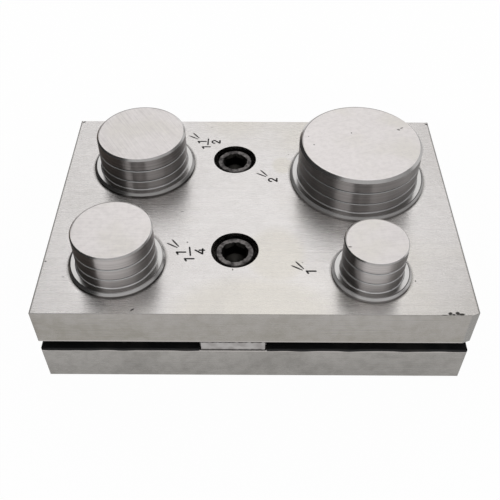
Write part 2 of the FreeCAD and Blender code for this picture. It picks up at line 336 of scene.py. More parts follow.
def caretArms():
    # each arm as a nick
    look = caretInk
    for x, y in look["points"]:
        for side in (-1, 1):
            across = math.radians(look["turn"] + side * 90)
            along = math.radians(look["turn"] + side * look["opening"] / 2)
            armX = x + (look["gap"] * math.cos(across) + look["length"] * math.cos(along)) / 2
            armY = y + (look["gap"] * math.sin(across) + look["length"] * math.sin(along)) / 2
            yield (armX, armY), look["length"], look["width"], math.degrees(along)


def plateSide(paint, node, z, nx, blotches, mottle):
    look, side = plateLook, plateSides[node]
    low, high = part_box(node)
    slotSide = low.z if node == "guide_plate" else high.z
    slotEdgeHighlight = abs(z - slotSide).rise(*look["slotEdgeHighlight"])
    shade = blotches.rise(*look["blotchRange"]) * look["blotchShare"]
    shade = shade + mottle.rise(*look["wearRange"]) * look["sideMottleShare"]
    # painted shade, darker towards the floor
    shade = shade + z.rise(low.z, high.z, look["sideFall"], 0.0)
    colour = paint.blend(shade, side["colour"], side["shade"])
    # a painted highlight along the slot's edge
    colour = paint.blend(slotEdgeHighlight, colour, look["slotEdgeHighlightColour"])
    if node == "guide_plate":
        least, most = look["clipFacing"]
        colour = paint.blend((abs(nx) > least) * (abs(nx) < most), colour, look["clipColour"])
    return colour


def insideCollars(paint, x, y):
    # how far a place is inside the nearest collar's edge, and below 0 outside
    return paint.most([halfWidth(node) - paint.away(x, y, middle(node)) for node in punchNodes])


def guideTop(paint, x, y):
    look = plateLook
    # a painted highlight on the plate just in front of each collar
    collarHighlight = insideCollars(paint, x, y + look["collarHighlightReach"]).rise(0.0, look["collarHighlightFade"])
    return paint.blend(collarHighlight, look["topColour"], look["collarHighlightColour"])


def guidePaintedShade(paint, x, y):
    # painted shadow round the collars and painted shade along both ends
    look = plateLook
    outside = 0.0 - insideCollars(paint, x, y)
    collarShadow = outside.rise(look["collarShadowStart"], look["collarShadowEnd"], look["collarShadowShare"], 0.0)
    fromEnd = guideHigh.x - abs(x)
    line = fromEnd.rise(*look["endShadeLine"], look["endShadeShare"], 0.0)
    return paint.most([collarShadow, line])


def guideMarks(x, y, z):
    # 1 on the stamped marks' walls and floors
    look = plateLook
    margin = look["markMargin"]
    inside = (abs(x) < guideHigh.x - margin) * (abs(y) < guideHigh.y - margin)
    return (z > guideHigh.z - look["markFloor"]) * (z < guideHigh.z - look["markMouth"]) * inside


def plateSteel(name, node):
    look = plateLook
    isGuide = node == "guide_plate"
    paint = newPaint(name)
    place = paint.place()
    x, y, z = paint.split(place)
    nx, _, nz = paint.normal()
    flat = abs(nz).rise(*look["flatFacing"])
    endFace = abs(nx) > look["endFacing"]
    alongX = paint.choose(endFace, look["streakAlong"], look["streakAcross"])
    alongY = paint.choose(endFace, look["streakAcross"], look["streakAlong"])
    drawnOut = paint.vector(x * alongX, y * alongY, z * look["streakAcross"])
    streaks = paint.noise(drawnOut, *look["streaks"])
    fine = paint.vector(x * look["grindAlong"], y * look["grindAcross"], z * look["grindAcross"])
    lean = (paint.noise(fine, *look["grind"]) - 0.5) * look["grindLean"]
    clouds = paint.noise(place, *look["clouds"])
    mottle = paint.noise(place, *look["mottle"])
    specks = paint.noise(place, *look["specks"])
    blotches = paint.noise(place, *look["blotches"])
    side = plateSide(paint, node, z, nx, blotches, mottle)
    top = guideTop(paint, x, y) if isGuide else look["topColour"]
    bare = paint.blend(flat, side, top)
    stain = clouds.rise(*look["stainRange"]) * look["stainShare"]
    if isGuide:
        spots = paint.most([paint.nick(x, y, *spot) for spot in plateStains])
        stain = paint.most([stain, spots * look["spotShare"]])
    stained = paint.blend(stain * flat, bare, look["stainColour"])
    shade = clouds.rise(*look["cloudRange"]) * look["cloudShare"]
    shade = shade + streaks.rise(*look["wearRange"]) * look["streakShare"]
    shade = shade + mottle.rise(*look["wearRange"]) * look["mottleShare"]
    if isGuide:
        # painted shade towards the right-hand corners
        for overX, overY, share in look["paintedCornerShades"]:
            shade = shade + x.rise(*overX) * y.rise(*overY) * share
    steel = paint.blend(shade * flat, stained, look["shadeColour"])
    speckled = specks.rise(*look["speckRange"]) * look["speckShare"]
    steel = paint.blend(speckled, steel, look["grimeAndShadeColour"])
    metallic = 1.0
    rough = look["roughness"] + (streaks - 0.5) * look["roughnessSpread"]
    if isGuide:
        # painted shadow round the collars and painted shade along the ends
        steel = paint.blend(guidePaintedShade(paint, x, y) * flat, steel, look["grimeAndShadeColour"])
        nicks = paint.most([paint.nick(x, y, *nick) for nick in (*plateNicks, *caretArms())])
        steel = paint.blend(nicks * flat * look["nickShare"], steel, look["nickColour"])
        mark = guideMarks(x, y, z)
        steel = paint.blend(mark, steel, look["markColour"])
        rough = paint.choose(mark, rough, look["markRoughness"])
        metallic = 1.0 - mark
    return paint.finish(paint.metal({
        "Base Color": steel,
        "Metallic": metallic,
        "Roughness": rough,
        "Normal": paint.tilted(0.0, lean, lean),
    }))


dress("guide_plate", plateSteel("guidePlateSteel", "guide_plate"))
dress("die_plate", plateSteel("diePlateSteel", "die_plate"))
print("plates finished")


# Spacer bar: ground steel in the slot, with painted shadow where it meets the plates

barLook = {
    "colour": (0.23, 0.217, 0.212, 1.0),
    "paleColour": (0.32, 0.308, 0.302, 1.0),
    "clouds": (300.0, 3.0),
    "cloudRange": (0.35, 0.65),
    "cloudDepth": 0.00001,
    "barShadowColour": (0.02, 0.018, 0.016, 1.0),
    "barShadowShare": 0.92,
    "shadowAbove": (0.00012, 0.0003, 1.0, 0.0),     # painted shadow down from the guide plate
    "shadowBelow": (0.00066, 0.0011, 1.0, 0.0),     # and painted shadow up from the die plate
    "raggedAbove": 0.0014,       # how far the painted shadow's edges wander
    "raggedBelow": 0.0007,
    "raggedScale": 900.0,
    "roughness": 0.35,
    "roughnessSpread": 0.2,
}


def barSteel(name):
    look = barLook
    paint = newPaint(name)
    place = paint.place()
    x, y, z = paint.split(place)
    clouds = paint.noise(place, *look["clouds"])
    scale = look["raggedScale"]
    wander = paint.noise(paint.vector(x * scale, y * scale, 0.0)) - 0.5
    low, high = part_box("spacer_bar")
    above = (high.z - z + wander * look["raggedAbove"]).rise(*look["shadowAbove"])
    below = (z - low.z + wander * look["raggedBelow"]).rise(*look["shadowBelow"])
    steel = paint.blend(clouds.rise(*look["cloudRange"]), look["colour"], look["paleColour"])
    # painted shadow along the top and the bottom
    paintedShade = paint.most([above, below]) * look["barShadowShare"]
    return paint.finish(paint.metal({
        "Base Color": paint.blend(paintedShade, steel, look["barShadowColour"]),
        "Roughness": look["roughness"] + (clouds - 0.5) * look["roughnessSpread"],
        "Normal": paint.bump(clouds, look["cloudDepth"]),
    }))


dress("spacer_bar", barSteel("spacerSteel"))
print("spacer bar finished")


# Punches: turned walls, and a top that was ground afterwards

punchLook = {
    "topColour": (0.88, 0.84, 0.83, 1.0),
    "patchColour": (0.82, 0.79, 0.72, 1.0),
    "patches": (60.0, 2.0),
    "patchRange": (0.45, 0.7),
    "patchShare": 0.5,
    "scratchColour": (0.7, 0.665, 0.655, 1.0),
    "scratchAlong": 60.0,
    "scratchAcross": 2600.0,
    "scratches": (1.0, 4.0, 0.6),
    "scratchRange": (0.4, 0.7),
    "scratchDepth": 0.000004,
    "mottle": (520.0, 3.0, 0.65),
    "mottleRange": (0.35, 0.7),
    "mottleShare": 0.3,
    "topRoughness": 0.45,
    "topRoughnessSpread": 0.1,
    "topFacing": (0.8, 0.95),    # the ground face points this far up
    "topDepth": 0.0003,          # and is within this of the top
    "farEdgeShade": (0.0005, 0.00025),        # painted shade: a dark line this far in from the top's far edge
    "farEdgeShadeShare": 0.6,
    "farEdgeShadeSlant": 0.5,         # which is further round on the left
    "farEdgeShadeFade": 0.8,          # and fades over this share of the radius
    # for pits and nicks, and for painted shade on the tops and round the collars' feet
    "pitAndShadeColour": (0.05, 0.045, 0.04, 1.0),
    "nickShare": 0.8,
    "wallColour": (0.53, 0.5, 0.492, 1.0),
    "lineColour": (0.4, 0.375, 0.368, 1.0),
    "lineScale": 2600.0,         # turning lines that can be told apart
    "lines": (1.0, 2.0),
    "lineRange": (0.3, 0.7),
    "wallRoughness": 0.33,
    "wallAnisotropy": 1.0,       # turning rings draw reflections out upwards
    "wallTurn": 0.25,            # of a full turn
    "ringScale": 16000.0,        # and are too fine to be told apart
    "rings": (1.0, 1.0),
    "ringDepth": 0.000003,
    "edgeRingDepth": 0.0000012,
    "edgeFacing": (0.3, 0.5),    # collar, lips and chamfer point this far up
    "edgeRoughness": 0.22,
    "litEdgeColour": (0.95, 0.93, 0.92, 1.0),
    "shadedEdgeColour": (0.42, 0.41, 0.4, 1.0),
    "rimColour": (0.85, 0.83, 0.82, 1.0),
    "rimDepth": 0.0013,          # the chamfer round the top lies within this
    "lipDepth": 0.00027,         # the grooves' lower lips are chamfered this deep
    "lipDiffuseShare": 0.5,              # and half matt, so that their painted highlight shows all round
    "flatFacing": (0.96, 0.99),
    "flatColour": (0.6, 0.59, 0.58, 1.0),        # the collar's flat
    "shoulderFacing": (0.88, 0.93),
    "shoulderColour": (0.3, 0.29, 0.285, 1.0),   # and the bend round it
    "collarTop": 0.0017,         # above the guide plate
    "headStep": 0.003,           # from the collar's edge in to the head
    "footShadeHeight": (0.00056, 0.00088, 1.0, 0.0),   # painted shade round the foot of the collar
}

# how the punches differ
punchWear = {
    "punch_one_inch": {
        "rim": 0.0004,           # the chamfer round the top is this wide
        "bright": 1.01,          # the top's colour times this
        "turn": 8,               # of the top's scratches, in degrees
        "scratched": 0.2,        # how much they show
        "edges": 1.0,            # painted light on the collar's edges, from shaded to lit
        "lip": 1.0,              # the grey of the grooves' lips, a painted highlight
        "groove": 0.15,          # and of the grooves, painted shade in them
        "paintedShade": 0.1,              # how much painted shade lies round the collar's foot
        "matt": 0.0,             # how matt the wall is
        "mattCollar": 0.6,       # and the collar
        "nicks": (((0.0319, -0.0374), 0.0014, 0.0006, 0),),
    },
    "punch_inch_and_quarter": {
        "rim": 0.0005,
        "bright": 1.055,
        "turn": 0,
        "scratched": 0.25,
        "edges": 0.75,
        "lip": 0.95,
        "groove": 0.2,
        "paintedShade": 0.6,
        "matt": 0.0,
        "mattCollar": 0.0,
        "nicks": (),
    },
    "punch_inch_and_half": {
        "rim": 0.0007,
        "bright": 1.0,
        "turn": -58,
        "scratched": 0.6,
        "edges": 0.3,
        "lip": 0.85,
        "groove": 0.005,
        "paintedShade": 0.7,
        "matt": 0.0,
        "mattCollar": 0.0,
        "nicks": (),
    },
    "punch_two_inch": {
        "rim": 0.001,
        "bright": 1.035,
        "turn": 20,
        "scratched": 0.2,
        "edges": 0.45,
        "lip": 0.75,
        "groove": 0.08,
        "paintedShade": 0.1,
        "matt": 0.15,
        "mattCollar": 0.5,
        "nicks": (
            ((0.0568, 0.0254), 0.0014, 0.0009, -25),
            ((0.0582, 0.0265), 0.0015, 0.0006, 30),
            ((0.0380, 0.0232), 0.0006, 0.0008, 0),
            ((0.0229, 0.0157), 0.0008, 0.0006, 0),
            ((0.0631, 0.0250), 0.0005, 0.0004, 0),
            ((0.0210, 0.0209), 0.0005, 0.0004, 0),
        ),
    },
}


def groundTop(paint, node, x, y, z, reach):
    # the top's shader; reach is how far a place is from the punch's axis
    look, wear = punchLook, punchWear[node]
    turn = math.radians(wear["turn"])
    along = x * math.cos(turn) + y * math.sin(turn)
    across = y * math.cos(turn) - x * math.sin(turn)
    drawnOut = paint.vector(along * look["scratchAlong"], across * look["scratchAcross"], z)
    scratches = paint.noise(drawnOut, *look["scratches"])
    mottle = paint.noise(paint.place(), *look["mottle"])
    patches = paint.noise(paint.place(), *look["patches"])
    topColour = (*[share * wear["bright"] for share in look["topColour"][:3]], 1.0)
    patched = patches.rise(*look["patchRange"]) * look["patchShare"]
    bare = paint.blend(patched, topColour, look["patchColour"])
    scuffs = scratches.rise(*look["scratchRange"]) * wear["scratched"]
    scuffs = scuffs + mottle.rise(*look["mottleRange"]) * look["mottleShare"]
    worn = paint.blend(scuffs, bare, look["scratchColour"])
    centre = middle(node)
    radius = halfWidth(node) - look["headStep"] - wear["rim"]
    # painted shade along the top's far edge, further round on the left
    behind = (y - centre.y) - (x - centre.x) * look["farEdgeShadeSlant"]
    start, full = look["farEdgeShade"]
    farEdgeShade = reach.rise(radius - start, radius - full)
    farEdgeShade = farEdgeShade * behind.rise(0.0, radius * look["farEdgeShadeFade"])
    nicks = [paint.nick(x, y, *nick) * look["nickShare"] for nick in wear["nicks"]]
    pitsAndShade = paint.most([farEdgeShade * look["farEdgeShadeShare"], *nicks])
    return paint.metal({
        "Base Color": paint.blend(pitsAndShade, worn, look["pitAndShadeColour"]),
        "Roughness": look["topRoughness"] + (scratches - 0.5) * look["topRoughnessSpread"],
        "Normal": paint.bump(scratches, look["scratchDepth"]),
    })


def turnedSides(paint, node, z, nz, reach):
    # the shader of everything but the top: walls that stand up, and edges that face upwards
    look, wear = punchLook, punchWear[node]
    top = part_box(node)[1].z
    collarTop = guideHigh.z + look["collarTop"]
    onCollar = (z > guideHigh.z) * (z < collarTop)
    onWall = (z > collarTop) * (z < top - look["rimDepth"])
    inGroove = (reach < halfWidth(node) - look["headStep"] - look["lipDepth"]) * onWall
    scale = look["ringScale"]
    rings = paint.noise(paint.vector(reach * scale, 0.0, z * scale), *look["rings"])
    scale = look["lineScale"]
    lines = paint.noise(paint.vector(reach * scale, 0.0, z * scale), *look["lines"])
    wall = paint.blend(lines.rise(*look["lineRange"]), look["wallColour"], look["lineColour"])
    # painted shade in the grooves
    wall = paint.blend(inGroove, wall, grey(wear["groove"]))
    # painted shade round the collar's foot
    foot = (z - guideHigh.z).rise(*look["footShadeHeight"])
    paintedShade = foot * (z > guideHigh.z) * wear["paintedShade"]
    wallFinish = paint.metal({
        "Base Color": paint.blend(paintedShade, wall, look["pitAndShadeColour"]),
        "Metallic": 1.0 - wear["matt"] - onCollar * wear["mattCollar"],
        "Roughness": look["wallRoughness"],
        "Anisotropic": look["wallAnisotropy"],
        "Anisotropic Rotation": look["wallTurn"],
        "Normal": paint.bump(rings, look["ringDepth"]),
    })
    flat = nz.rise(*look["flatFacing"])
    shoulder = nz.rise(*look["shoulderFacing"]) * onCollar
    # painted light: each punch's collar edges are set between a shaded and a lit grey
    edge = paint.blend(wear["edges"], look["shadedEdgeColour"], look["litEdgeColour"])
    edge = paint.blend(shoulder, edge, look["shoulderColour"])
    edge = paint.blend(flat, edge, look["flatColour"])
    # painted highlight on the grooves' lips
    edge = paint.blend(onWall, edge, grey(wear["lip"]))
    edge = paint.blend(z > top - look["rimDepth"], edge, look["rimColour"])
    collarMatt = onCollar * (1.0 - flat) * wear["mattCollar"]
    edgeFinish = paint.metal({
        "Base Color": paint.blend(inGroove, edge, grey(wear["groove"])),
        "Metallic": 1.0 - onWall * look["lipDiffuseShare"] - collarMatt,
        "Roughness": look["edgeRoughness"],
        "Normal": paint.bump(rings, look["edgeRingDepth"]),
    })
    return paint.mixed(nz.rise(*look["edgeFacing"]), wallFinish, edgeFinish)


def turnedSteel(name, node):
    look = punchLook
    paint = newPaint(name)
    x, y, z = paint.split(paint.place())
    nz = paint.normal()[2]
    reach = paint.away(x, y, middle(node))
    onTop = nz.rise(*look["topFacing"]) * (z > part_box(node)[1].z - look["topDepth"])
    sides = turnedSides(paint, node, z, nz, reach)
    return paint.finish(paint.mixed(onTop, sides, groundTop(paint, node, x, y, z, reach)))


for node in punchNodes:
    dress(node, turnedSteel(node + "_steel", node))
print("punches finished")


# Dowel pins: hidden, ground bright

dowelLook = {
    "colour": (0.6, 0.6, 0.6, 1.0),
    "clouds": (900.0, 3.0),
    "roughness": 0.25,
    "roughnessSpread": 0.1,
}


def dowelSteel(name):
    look = dowelLook
    paint = newPaint(name)
    clouds = paint.noise(paint.place(), *look["clouds"])
    return paint.finish(paint.metal({
        "Base Color": look["colour"],
        "Roughness": look["roughness"] + (clouds - 0.5) * look["roughnessSpread"],
    }))


pinSteel = dowelSteel("dowelSteel")
for node in ("dowel_pin_front", "dowel_pin_rear"):
    dress(node, pinSteel)
print("dowel pins finished")


# Rubber liners: cut from sheet by hand, so that their edges wander

linerLook = {
    "colour": (0.010, 0.010, 0.011, 1.0),
    "dustColour": (0.022, 0.021, 0.02, 1.0),
    "dust": (90.0, 4.0),
    "dustRange": (0.5, 0.7),
    "grain": (1200.0, 3.0),
    "grainDepth": 0.00002,
    "roughness": 0.75,
    "roughnessSpread": 0.2,
    "gloss": 0.2,                # half of what plastic has
    "proud": 0.00045,            # how far the cut edge stands out past the node, front and back
    "wander": 0.00022,
    "wanderLength": 0.006,
    "step": 0.0012,              # between the points of a cut edge
    "droop": 0.00018,            # how far the edge sags over the plate's
    "rounding": 0.00012,
    "boreGap": 0.001,            # round each punch's shank
    "collarLip": 0.0014,         # how far a punch's collar reaches past its shank
    "holePoints": 72,
    "mergeReach": 0.000002,      # corners nearer than this become one
}


def linerRubber(name):
    look = linerLook
    paint = newPaint(name)
    grain = paint.noise(paint.place(), *look["grain"])
    dust = paint.noise(paint.place(), *look["dust"]).rise(*look["dustRange"])
    return paint.finish(paint.node("ShaderNodeBsdfPrincipled", values={
        "Base Color": paint.blend(dust, look["colour"], look["dustColour"]),
        "Roughness": look["roughness"] + (grain - 0.5) * look["roughnessSpread"],
        "Specular IOR Level": look["gloss"],
        "Normal": paint.bump(grain, look["grainDepth"]),
    }))


def wanderAt(distance, lane):
    # a noise along an edge; each lane has its own
    return noise.noise(Vector((distance / linerLook["wanderLength"], lane, 0.5)))


def addSpline(curve, points):
    spline = curve.splines.new("POLY")
    spline.points.add(len(points) - 1)
    for corner, (x, y) in zip(spline.points, points):
        corner.co = (x, y, 0.0, 1.0)
    spline.use_cyclic_u = True


def linerOutline(low, high, lane):
    look = linerLook
    steps = round((high.x - low.x) / look["step"])
    across = [low.x + (high.x - low.x) * step / steps for step in range(steps + 1)]
    front, back = low.y - look["proud"], high.y + look["proud"]
    backLane = lane + 9
    frontEdge = [(x, front + look["wander"] * wanderAt(x, lane)) for x in across]
    backEdge = [(x, back + look["wander"] * wanderAt(x, backLane)) for x in across]
    return frontEdge + backEdge[::-1]


def linerHole(punch):
    look = linerLook
    centre = middle(punch)
    radius = halfWidth(punch) - look["collarLip"] + look["boreGap"]
    turns = [2 * math.pi * step / look["holePoints"] for step in range(look["holePoints"])]
    return [
        (centre.x + radius * math.cos(turn), centre.y + radius * math.sin(turn))
        for turn in turns
    ]


def linerSheet(node, lane):
    # the cut sheet as a flat mesh, at its node's height
    look = linerLook
    low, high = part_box(node)
    curve = bpy.data.curves.new(node + "_sheet", "CURVE")
    curve.dimensions = "2D"
    curve.fill_mode = "BOTH"
    curve.extrude = (high.z - low.z) / 2 - look["rounding"]
    curve.bevel_depth = look["rounding"]
    curve.bevel_resolution = 1
    curve.offset = -look["rounding"]
    addSpline(curve, linerOutline(low, high, lane))
    for punch in punchNodes:
        if low.x < middle(punch).x < high.x:
            addSpline(curve, linerHole(punch))
    drawn = newObject(node + "_curve", curve)
    mesh = plainMesh(drawn)
    bpy.data.objects.remove(drawn)
    mesh.transform(Matrix.Translation((0, 0, (low.z + high.z) / 2)))
    return mesh


def addLiner(node, material, lane):
    look = linerLook
    mesh = linerSheet(node, lane)
    sheet = bmesh.new()
    sheet.from_mesh(mesh)
    bmesh.ops.remove_doubles(sheet, verts=sheet.verts, dist=look["mergeReach"])
    sagLane = lane + 4
    for corner in sheet.verts:
        past = abs(corner.co.y) - dieHigh.y          # only what stands past the plates can sag
        if past > 0:
            sag = look["droop"] * (0.5 + wanderAt(corner.co.x, sagLane))
            corner.co.z -= sag * min(1.0, past / look["proud"])
    bmesh.ops.recalc_face_normals(sheet, faces=sheet.faces)
    sheet.to_mesh(mesh)
    sheet.free()
    mesh.materials.clear()
    mesh.materials.append(material)
    liner = newObject(node + "_cut", mesh)
    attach(liner, "frame")
    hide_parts(node)


rubber = linerRubber("linerRubber")
addLiner("rubber_liner_left", rubber, 1)
addLiner("rubber_liner_right", rubber, 2)
print("liners made")


# Clamp screws: socket head cap screws, black oxide, knurled round the head

screwLook = {
    "colour": (0.05, 0.046, 0.046, 1.0),
    "paleColour": (0.23, 0.215, 0.21, 1.0),
    "socketColour": (0.035, 0.033, 0.03, 1.0),
    "socketFrom": 0.00012,       # the socket's colour starts this far down
    "socketReach": 0.00534,      # and this far out
    "clouds": (520.0, 3.0, 0.6),
    "cloudRange": (0.34, 0.68),
    "grain": (1500.0, 3.0, 0.6),
    "grainRange": (0.3, 0.6, 0.5, 1.0),
    "grainDepth": 0.000012,
    "roughness": 0.42,
    "roughnessSpread": 0.3,
    "segments": 96,              # a multiple of 6, so that the hexagon keeps its corners
    "headHeight": 0.009525,
    "headChamfer": 0.0003,
    "edgeRound": 0.0002,
    "lipRound": 0.0001,          # round the socket's mouth
    "socketFlats": 0.00794,
    "socketDepth": 0.0048,
    "drillDepth": 0.0011,
    "drillShare": 0.92,          # of the hexagon's flats
    "mouthRadius": 0.00495,      # the socket's mouth is wider than its hexagon
    "mouthDepth": 0.0012,
    "mouthRagged": 0.00026,      # how far the broached edge wanders
    "raggedCoarse": 5,           # bumps round it
    "raggedFine": 14,
    "raggedFineShare": 0.7,
    "threadRadius": 0.0047625,
    "threadDepth": 0.00085,
    "threadPitch": 0.0015875,
    "threadCurve": 1.2,          # 1 is a straight-sided thread
    "threadRows": 6,             # rings for each turn of the thread
    "neckLength": 0.003,
    "tipChamfer": 0.001,
    "poleRadius": 0.0001,        # the small face in the middle of both ends
    "knurlCount": 60,
    "knurlDepth": 0.00015,
    "knurlLength": 0.0062,
    "knurlLow": 0.0009,          # above the underside of the head
}


def blackOxide(name, node):
    # worn pale in patches, and dark in the socket
    look = screwLook
    paint = newPaint(name)
    place = paint.place()
    x, y, z = paint.split(place)
    grain = paint.noise(place, *look["grain"])
    clouds = paint.noise(place, *look["clouds"])
    worn = clouds.rise(*look["cloudRange"]) * grain.rise(*look["grainRange"])
    oxide = paint.blend(worn, look["colour"], look["paleColour"])
    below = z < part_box(node)[1].z - look["socketFrom"]
    hollow = below * (paint.away(x, y, middle(node)) < look["socketReach"])
    return paint.finish(paint.metal({
        "Base Color": paint.blend(hollow, oxide, look["socketColour"]),
        "Roughness": look["roughness"] + (grain - 0.5) * look["roughnessSpread"],
        "Normal": paint.bump(grain, look["grainDepth"]),
    }))


def hexagonRadius(turn):
    sixth = math.pi / 3
    offset = (turn + sixth / 2) % sixth - sixth / 2
    return screwLook["socketFlats"] / 2 / math.cos(offset)


def mouthRadius(turn, lane):
    # the broached edge; each screw's lane gives it bumps of its own
    look = screwLook

    def bumps(count):
        return noise.noise(Vector((math.cos(turn) * count, math.sin(turn) * count, lane)))

    rough = bumps(look["raggedCoarse"]) + look["raggedFineShare"] * bumps(look["raggedFine"])
    return look["mouthRadius"] + look["mouthRagged"] * rough


def threadRadius(level, turn):
    look = screwLook
    phase = (level / look["threadPitch"] - turn / (2 * math.pi)) % 1.0
    groove = (1 - abs(2 * phase - 1)) ** look["threadCurve"]
    return look["threadRadius"] - look["threadDepth"] * groove


def screwRings(headRadius, length, lane):
    # each ring is a height, from the top down, and a radius for every turn
    look = screwLook
    socketFloor = -look["socketDepth"]
    underHead = -look["headHeight"]
    wallRadius = headRadius - look["knurlDepth"]
    drillRadius = look["socketFlats"] / 2 * look["drillShare"]
    lipRound = look["lipRound"]

    def plain(radius):
        return lambda turn: radius

    def thread(level):
        return lambda turn: threadRadius(level, turn)

    rings = [
        (socketFloor - look["drillDepth"], plain(look["poleRadius"])),
        (socketFloor, plain(drillRadius)),
        (socketFloor, hexagonRadius),
        (-look["mouthDepth"], hexagonRadius),
        (-look["mouthDepth"] / 2, lambda turn: (hexagonRadius(turn) + mouthRadius(turn, lane)) / 2),
        (-look["edgeRound"], lambda turn: mouthRadius(turn, lane) - lipRound),
        (0.0, lambda turn: mouthRadius(turn, lane) + lipRound),
        (0.0, plain(wallRadius - look["headChamfer"])),
        (-look["headChamfer"], plain(wallRadius)),
        (underHead + look["edgeRound"], plain(wallRadius)),
        (underHead, plain(wallRadius - look["edgeRound"])),
        (underHead, plain(look["threadRadius"])),
        (underHead - look["neckLength"], plain(look["threadRadius"])),
    ]
    tip = -length
    level = underHead - look["neckLength"]
    rowStep = look["threadPitch"] / look["threadRows"]
    while level > tip + look["tipChamfer"] + rowStep:
        level -= rowStep
        rings.append((level, thread(level)))
    rings.append((tip, plain(look["threadRadius"] - look["tipChamfer"])))
    rings.append((tip, plain(look["poleRadius"])))
    return rings


def ringMesh(name, rings, segments):
    made = bmesh.new()
    turns = [2 * math.pi * step / segments for step in range(segments)]
    rows = []
    for level, radiusAt in rings:
        radii = [radiusAt(turn) for turn in turns]
        rows.append([
            made.verts.new((radius * math.cos(turn), radius * math.sin(turn), level))
            for radius, turn in zip(radii, turns)
        ])
    for upper, lower in zip(rows[:-1], rows[1:]):
        for step in range(segments):
            after = (step + 1) % segments
            made.faces.new((upper[step], upper[after], lower[after], lower[step]))
    made.faces.new(rows[0])
    made.faces.new(rows[-1])
    bmesh.ops.recalc_face_normals(made, faces=made.faces)
    mesh = bpy.data.meshes.new(name)
    made.to_mesh(mesh)
    made.free()
    return mesh


class NodeTree:
    # a Geometry Nodes tree with named inputs
    def __init__(self, name, inputs):
        self.tree = bpy.data.node_groups.new(name, "GeometryNodeTree")
        self.sockets = {}
        for label, kind in inputs.items():
            socket = self.tree.interface.new_socket(label, in_out="INPUT", socket_type=kind)
            self.sockets[label] = socket.identifier
        shape = "NodeSocketGeometry"
        self.tree.interface.new_socket("Geometry", in_out="OUTPUT", socket_type=shape)
        self.given = self.tree.nodes.new("NodeGroupInput")
        self.result = self.tree.nodes.new("NodeGroupOutput")

    def node(self, kind, settings=None, values=None, output=0):
        made = self.tree.nodes.new(kind)
        for key, setting in (settings or {}).items():
            setattr(made, key, setting)
        for key, value in (values or {}).items():
            sources = value if isinstance(value, list) else [value]
            for source in sources:
                if isinstance(source, bpy.types.NodeSocket):
                    self.tree.links.new(source, made.inputs[key])
                else:
                    made.inputs[key].default_value = source
        return made.outputs[output]

    def input(self, label):
        return self.given.outputs[label]


def knurlTree():
    # upright ridges in a ring, set into the head with one corner outwards
    made = NodeTree("knurl", {
        "Geometry": "NodeSocketGeometry",
        "Ridge Count": "NodeSocketInt",
        "Ring Radius": "NodeSocketFloat",
        "Ring Height": "NodeSocketFloat",
        "Ridge Size": "NodeSocketVector",
        "Material": "NodeSocketMaterial",
    })
    circle = made.node("GeometryNodeMeshCircle", values={
        "Vertices": made.input("Ridge Count"),
        "Radius": made.input("Ring Radius"),
    })
    outward = made.node("FunctionNodeAlignRotationToVector", {"axis": "X"}, {
        "Vector": made.node("GeometryNodeInputPosition"),
    })
    turned = made.node("FunctionNodeRotateRotation", {"rotation_space": "LOCAL"}, {
        "Rotation": outward,
        "Rotate By": (0.0, 0.0, math.pi / 4),
    })
    ridge = made.node("GeometryNodeMeshCube", values={"Size": made.input("Ridge Size")})
    ridges = made.node("GeometryNodeInstanceOnPoints", values={
        "Points": circle,
        "Instance": ridge,
        "Rotation": turned,
    })
    lift = made.node("ShaderNodeCombineXYZ", values={"Z": made.input("Ring Height")})
    lifted = made.node("GeometryNodeTranslateInstances", {}, {
        "Instances": ridges,
        "Translation": lift,
        "Local Space": False,
    })
    joined = made.node("GeometryNodeJoinGeometry", values={
        "Geometry": [lifted, made.input("Geometry")],
    })
    real = made.node("GeometryNodeRealizeInstances", values={"Geometry": joined})
    coated = made.node("GeometryNodeSetMaterial", values={
        "Geometry": real,
        "Material": made.input("Material"),
    })
    made.tree.links.new(coated, made.result.inputs["Geometry"])
    return made


def addScrew(node, body, knurl, lane):
    look = screwLook
    low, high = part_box(node)
    centre = middle(node)
    headRadius = halfWidth(node)
    rings = screwRings(headRadius, high.z - low.z, lane)
    screw = newObject(node + "_cut", ringMesh(node + "_body", rings, look["segments"]))
    modifier = screw.modifiers.new("knurl", "NODES")
    modifier.node_group = knurl.tree
    side = look["knurlDepth"] * math.sqrt(2)
    inputs = {
        "Ridge Count": look["knurlCount"],
        "Ring Radius": headRadius - look["knurlDepth"],
        "Ring Height": look["knurlLow"] + look["knurlLength"] / 2 - look["headHeight"],
        "Ridge Size": (side, side, look["knurlLength"]),
        "Material": blackOxide(node + "_oxide", node),
    }
    for label, value in inputs.items():
        modifier[knurl.sockets[label]] = value
    finished = plainMesh(screw)
    screw.modifiers.clear()
    finished.transform(Matrix.Translation((centre.x, centre.y, high.z)))
    screw.data = finished
    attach(screw, body)
    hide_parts(node)


knurl = knurlTree()
addScrew("clamp_screw_front", "front_screw", knurl, 1.5)
addScrew("clamp_screw_rear", "rear_screw", knurl, 4.5)
print("screws made")


# Studio

